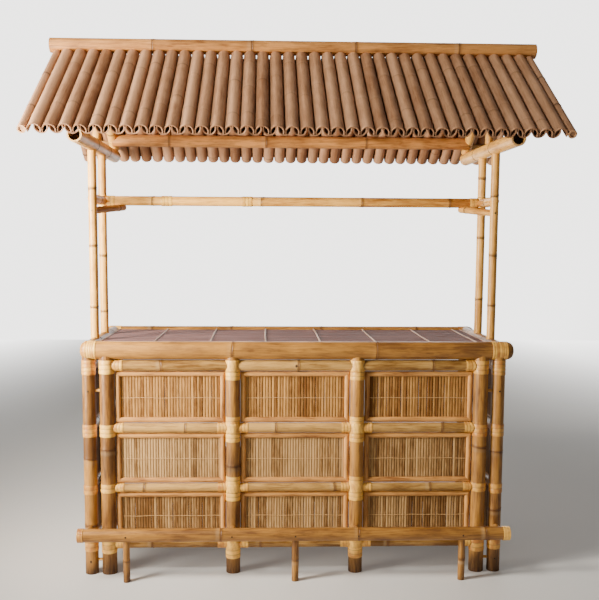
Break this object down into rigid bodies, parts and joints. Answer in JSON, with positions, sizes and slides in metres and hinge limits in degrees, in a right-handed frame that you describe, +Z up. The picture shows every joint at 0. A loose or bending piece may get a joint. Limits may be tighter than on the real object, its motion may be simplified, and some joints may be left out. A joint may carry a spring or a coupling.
{
  "type": "tiki bar hut",
  "caption": "Free-standing bamboo bar: a counter with matted panels and a foot rail, corner posts bound with rattan, and a pitched roof of split bamboo tiles.",
  "frame": {"origin": "on the floor, under the middle of the roof", "axes": "+X to the right of someone facing the front, +Y to the back, +Z up"},
  "size_m": [2.3546, 1.3278, 2.5485],
  "materials": {
    "bamboo_pole": "satin, dry bamboo with a honey skin",
    "pale_bamboo": "satin, pale dry bamboo",
    "roof_bamboo": "matt, weathered grey-brown bamboo",
    "counter_bamboo": "satin, flattened bamboo strips, mauve brown",
    "bamboo_mat": "matt, split bamboo stitched side by side",
    "bamboo_moulding": "satin, half-round split bamboo",
    "rattan_binding": "satin, flat peeled rattan strip",
    "nail_steel": "dull, darkened"
  },
  "bodies": {
    "root": {"corner_braces": "pale_bamboo", "corner_wraps": "rattan_binding", "counter_front_rail": "bamboo_pole", "counter_rear_rail": "bamboo_pole", "counter_side_rail_left": "bamboo_pole", "counter_side_rail_right": "bamboo_pole", "counter_top_bearers": "bamboo_pole", "counter_top_slats": "counter_bamboo", "counter_top_strips": "bamboo_moulding", "foot_rail": "bamboo_pole", "foot_rail_spacers": "bamboo_pole", "foot_rail_supports": "bamboo_pole", "foot_rail_wraps": "rattan_binding", "front_leg_left": "bamboo_pole", "front_leg_right": "bamboo_pole", "front_mats": "bamboo_mat", "front_mouldings": "bamboo_moulding", "front_panel_post_1": "bamboo_pole", "front_panel_post_2": "bamboo_pole", "front_panel_post_3": "bamboo_pole", "front_panel_post_4": "bamboo_pole", "front_panel_rails": "bamboo_pole", "front_plate": "bamboo_pole", "front_roof_caps": "roof_bamboo", "front_roof_pans": "roof_bamboo", "gable_edge_poles": "roof_bamboo", "joining_dowels": "bamboo_pole", "king_posts": "bamboo_pole", "leg_wraps": "rattan_binding", "nails": "nail_steel", "post_wraps": "rattan_binding", "rafter_foot_wraps": "rattan_binding", "rafters": "bamboo_pole", "rail_end_wraps": "rattan_binding", "rear_bottom_rail": "bamboo_pole", "rear_leg_left": "bamboo_pole", "rear_leg_right": "bamboo_pole", "rear_plate": "bamboo_pole", "rear_roof_caps": "roof_bamboo", "rear_roof_pans": "roof_bamboo", "ridge_beam": "bamboo_pole", "ridge_pole": "roof_bamboo", "roof_laths": "roof_bamboo", "roof_post_front_left": "pale_bamboo", "roof_post_front_right": "pale_bamboo", "roof_post_rear_left": "pale_bamboo", "roof_post_rear_right": "pale_bamboo", "shelf_bearers": "bamboo_pole", "shelf_rail": "bamboo_pole", "shelf_slats": "counter_bamboo", "side_mats": "bamboo_mat", "side_mouldings": "bamboo_moulding", "side_panel_rails_left": "bamboo_pole", "side_panel_rails_right": "bamboo_pole", "tie_beam_left": "bamboo_pole", "tie_beam_right": "bamboo_pole", "upper_frame_wraps": "rattan_binding", "upper_rail": "pale_bamboo", "upper_side_rails": "pale_bamboo"}
  },
  "joints": []
}
